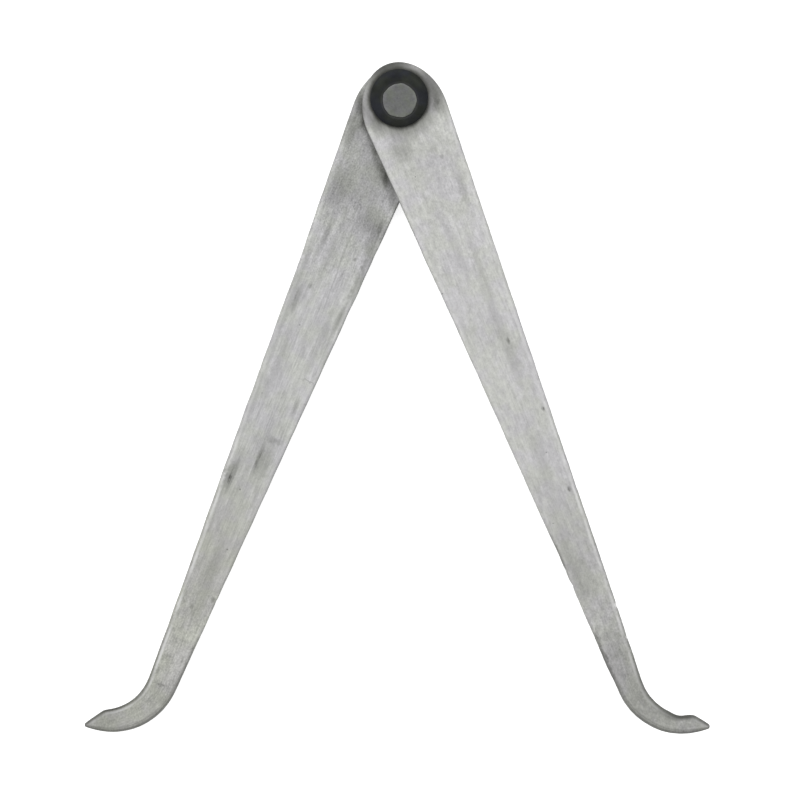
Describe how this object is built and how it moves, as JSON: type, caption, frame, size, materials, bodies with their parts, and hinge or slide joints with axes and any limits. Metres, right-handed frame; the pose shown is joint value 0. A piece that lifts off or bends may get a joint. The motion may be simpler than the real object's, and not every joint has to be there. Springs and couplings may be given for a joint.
{
  "type": "firm joint inside caliper",
  "caption": "Flat steel inside caliper: tapered legs on a riveted friction joint, each with a rounded toe turned outwards for taking the width of a bore or slot.",
  "frame": {"origin": "on the joint axis, in the flat face of the rivet's rear end, which the caliper lies on", "axes": "+Z along the joint axis towards the front washer; +Y from the toes towards the joint, halfway between the legs; +X towards the toe of the front leg"},
  "size_m": [0.1337, 0.1438, 0.0082],
  "materials": {
    "leg_steel": "ground along the leg, dulled and stained with use",
    "blackened_steel": "chemically blackened, semi-matt",
    "rivet_steel": "dressed flat, tarnished",
    "fibre": "vulcanised fibre, matt"
  },
  "bodies": {
    "rear_leg": {"rear_leg": "leg_steel", "joint_rivet": "rivet_steel", "front_washer": "blackened_steel", "rear_washer": "blackened_steel", "friction_disc": "fibre"},
    "front_leg": {"front_leg": "leg_steel"}
  },
  "joints": [
    {"name": "leg_opening", "type": "hinge", "parent": "rear_leg", "child": "front_leg", "pos_m": [0, 0, 0.005], "axis": [0, 0, 1], "range_deg": [-52.8, 136.3]}
  ]
}
